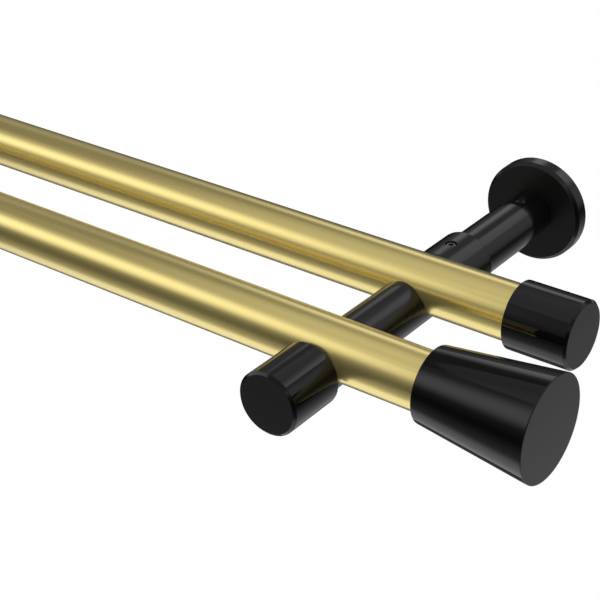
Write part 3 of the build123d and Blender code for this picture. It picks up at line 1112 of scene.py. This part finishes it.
def make_finial(sign, name):
    outside = [
        (END_START, FINIAL_NARROW, END_EDGE),
        (FINIAL_END, FINIAL_WIDE, FINIAL_EDGE),
        (FINIAL_END, 0, 0),
    ]
    return end_piece(sign, name, FRONT_POLE, outside, FINIAL_AT_SCREW)


for side, sign in (("right", 1), ("left", -1)):
    for part, make in (("end_cap", make_end_cap), ("finial", make_finial)):
        node = f"{part}_{side}"
        dress(make(sign, "black_" + node), black_lacquer, node)

# %% [markdown]
# ## Set screws, with Geometry Nodes
# A set screw has no head: a threaded rod with a hexagon socket in its face and a chamfered
# point. It repeats fourteen times, so one tree makes it. Each band of its surface is a grid
# that is rolled up: u runs round the screw and v along the band, from one (height, radius)
# to the next. The thread is a band whose radius follows the helix, and the socket is a
# band whose radius follows a hexagon. The screws stand on the points of a small mesh, and
# an attribute says which of them come up from below.

# %% Sizes inside a set screw
FACE_BEVEL, RIM_BEVEL, DRILL_POINT = 0.15 * MM, 0.40 * MM, 0.3 * MM
SCREW_STEPS, THREAD_ROWS, RUN_OUTS = 48, 28, 12.0
WELD, CREASE_ANGLE, SIXTH_TURN = 0.002 * MM, 0.6, 1.0472
print("thread drawn in", THREAD_ROWS, "rows of", SCREW_STEPS, "steps")

# %% Bands of a set screw
def band(sheet, rows, rule):
    """A grid rolled up. rule(u turns, v) gives height and radius."""
    size = {"Size X": 1.0, "Size Y": 1.0}
    size |= {"Vertices X": SCREW_STEPS + 1, "Vertices Y": rows + 1}
    grid = sheet.node("GeometryNodeMeshGrid", None, size)
    spot = sheet.node("GeometryNodeInputPosition")
    u, v = sheet.part(spot, "X") + 0.5, sheet.part(spot, "Y") + 0.5
    height, reach = rule(u, v)
    angle = u * (2 * math.pi)
    x, y = angle.apply("COSINE") * reach, angle.apply("SINE") * reach
    place = sheet.node("ShaderNodeCombineXYZ", None, {"X": x, "Y": y, "Z": height})
    moved = {"Geometry": grid, "Position": place}
    return sheet.node("GeometryNodeSetPosition", None, moved)


def straight(z0, r0, z1, r1):
    """The rule of a straight band, from one height and radius to the next."""
    return lambda u, v: (z0 + v * (z1 - z0), r0 + v * (r1 - r0))


def outer_bands(sheet, given, root, rim):
    """Rim, thread, chamfered point and foot."""
    length, point = given["Length"], given["Point"]
    zero, tip = length * 0.0, 0.0 - length
    thread_end = 0.0 - length + point + FACE_BEVEL

    def thread(u, v):
        run = length - point - 2 * FACE_BEVEL
        height = 0.0 - FACE_BEVEL - v * run
        phase = (height / given["Pitch"] + u).apply("FRACT")
        crest = 1.0 - (phase * 2.0 - 1.0).apply("ABSOLUTE")
        start = (v * RUN_OUTS).apply("MINIMUM", 1.0)
        end = ((1.0 - v) * RUN_OUTS).apply("MINIMUM", 1.0)
        return height, root + given["Thread Depth"] * crest * (start * end)

    return [
        band(sheet, 1, straight(zero, rim, zero - FACE_BEVEL, root)),
        band(sheet, THREAD_ROWS, thread),
        band(sheet, 1, straight(thread_end, root, tip, root - point)),
        band(sheet, 1, straight(tip, root - point, tip, zero)),
    ]


def socket_bands(sheet, given, rim):
    """The face round the hexagon, the hexagon's walls and the drill's cone."""
    floor = 0.0 - given["Socket Depth"]
    zero = floor * 0.0

    def hexagon(u):
        sixth = math.pi / 3
        turn = (u * (2 * math.pi)).apply("MODULO", sixth) - sixth / 2
        return given["Key"] * 0.5 / turn.apply("COSINE")

    rules = [
        lambda u, v: (zero, hexagon(u) + (1.0 - v) * (rim - hexagon(u))),
        lambda u, v: (v * floor, hexagon(u)),
        lambda u, v: (floor - v * DRILL_POINT, hexagon(u) * (1.0 - v)),
    ]
    return [band(sheet, 1, rule) for rule in rules]


print("seven bands make a screw")

# %% Tree of a set screw
def weld_and_crease(sheet, bands):
    """Joins the bands, welds their rims and keeps only their bends crisp."""
    joined = sheet.node("GeometryNodeJoinGeometry", None, {0: bands})
    weld = {"Geometry": joined, "Distance": WELD}
    closed = sheet.node("GeometryNodeMergeByDistance", None, weld)
    bend = sheet.node("GeometryNodeInputMeshEdgeAngle")
    compared = {0: bend, 1: CREASE_ANGLE}
    crisp = sheet.node("FunctionNodeCompare", {"data_type": "FLOAT"}, compared)
    smooth = sheet.node("GeometryNodeSetShadeSmooth", None, {"Geometry": closed})
    return sheet.node(
        "GeometryNodeSetShadeSmooth",
        {"domain": "EDGE"},
        {"Geometry": smooth, "Selection": crisp, "Shade Smooth": False},
    )


def set_screw_tree():
    sheet, given = new_tree(
        "set screw",
        [
            ("Diameter", "NodeSocketFloat", 0.004),
            ("Length", "NodeSocketFloat", 0.003),
            ("Key", "NodeSocketFloat", 0.002),
            ("Socket Depth", "NodeSocketFloat", 0.0016),
            ("Pitch", "NodeSocketFloat", 0.0007),
            ("Thread Depth", "NodeSocketFloat", 0.0002),
            ("Point", "NodeSocketFloat", 0.0005),
            ("Seed", "NodeSocketInt", 4),
            ("Finish", "NodeSocketMaterial", None),
        ],
    )
    root = given["Diameter"] * 0.5 - given["Thread Depth"]
    rim = root - RIM_BEVEL
    bands = outer_bands(sheet, given, root, rim) + socket_bands(sheet, given, rim)
    screw = weld_and_crease(sheet, bands)
    flipped = sheet.node(
        "GeometryNodeInputNamedAttribute", {"data_type": "FLOAT"}, {"Name": "from_below"}
    )
    spin = sheet.node(
        "FunctionNodeRandomValue",
        {"data_type": "FLOAT"},
        {"Min": 0.0, "Max": SIXTH_TURN, "Seed": given["Seed"]},
        output=1,
    )
    turn = sheet.node("ShaderNodeCombineXYZ", None, {"X": flipped * math.pi, "Z": spin})
    placed = sheet.node(
        "GeometryNodeInstanceOnPoints",
        None,
        {"Points": given["Geometry"], "Instance": screw, "Rotation": turn},
    )
    return end_tree(sheet, placed, given["Finish"])


screw_tree = set_screw_tree()
print("tree:", screw_tree.name, "with", len(screw_tree.nodes), "nodes")

# %% [markdown]
# ## Where the set screws sit
# Neck and sleeve have theirs on top, where the photograph shows them. The rest come up from
# below, out of sight: one in the cap, one under each pole and one in each end piece.

# %% Place the set screws
KEY_SHARE, SOCKET_SHARE, THREAD_SHARE = 0.5, 0.4, 0.05
PITCHES, POINT, SCREW_SEED = {4.0: 0.7, 3.0: 0.5}, 0.5, 4
NECK_TOP, SLEEVE_TOP, CAP_FOOT, BAR_FOOT = 8.05, 10.5, -10.67, -8.8
END_CAP_FOOT, FINIAL_FOOT = -6.67, -7.77


def make_screws(node, spots, diameter, length):
    """spots are (x, distance from the wall, height of the socket face, from below) in mm."""
    seeds = bpy.data.meshes.new(node)
    seeds.from_pydata([(x * MM, -d * MM, z * MM) for x, d, z, _ in spots], [], [])
    flags = seeds.attributes.new("from_below", "FLOAT", "POINT")
    flags.data.foreach_set("value", [float(below) for *_, below in spots])
    piece = add_object("threaded_" + node, seeds)
    grow(
        piece,
        screw_tree,
        diameter=diameter * MM,
        length=length * MM,
        key=diameter * KEY_SHARE * MM,
        socket_depth=diameter * SOCKET_SHARE * MM,
        pitch=PITCHES[diameter] * MM,
        thread_depth=diameter * THREAD_SHARE * MM,
        point=POINT * MM,
        seed=SCREW_SEED,
        finish=blackened_steel,
    )
    dress(piece, blackened_steel, node)


arm_spots, pole_spots, cap_spots, finial_spots = [], [], [], []
for side, sign in (("right", 1), ("left", -1)):
    x, end_x = bracket_x[side] / MM, sign * END_SCREW
    arm_spots += [
        (x, NECK_SCREW, NECK_TOP, False),
        (x, SLEEVE_SCREW, SLEEVE_TOP, False),
        (x, CAP_SCREW, CAP_FOOT, True),
    ]
    pole_spots += [(x, REAR_POLE, BAR_FOOT, True), (x, FRONT_POLE, BAR_FOOT, True)]
    cap_spots.append((end_x, REAR_POLE, END_CAP_FOOT, True))
    finial_spots.append((end_x, FRONT_POLE, FINIAL_FOOT, True))
make_screws("arm_set_screws", arm_spots, diameter=4.0, length=3.0)
make_screws("pole_set_screws", pole_spots, diameter=4.0, length=4.0)
make_screws("end_cap_set_screws", cap_spots, diameter=3.0, length=1.9)
make_screws("finial_set_screws", finial_spots, diameter=3.0, length=3.0)

# %% View transform
bpy.context.scene.view_settings.view_transform = "Standard"
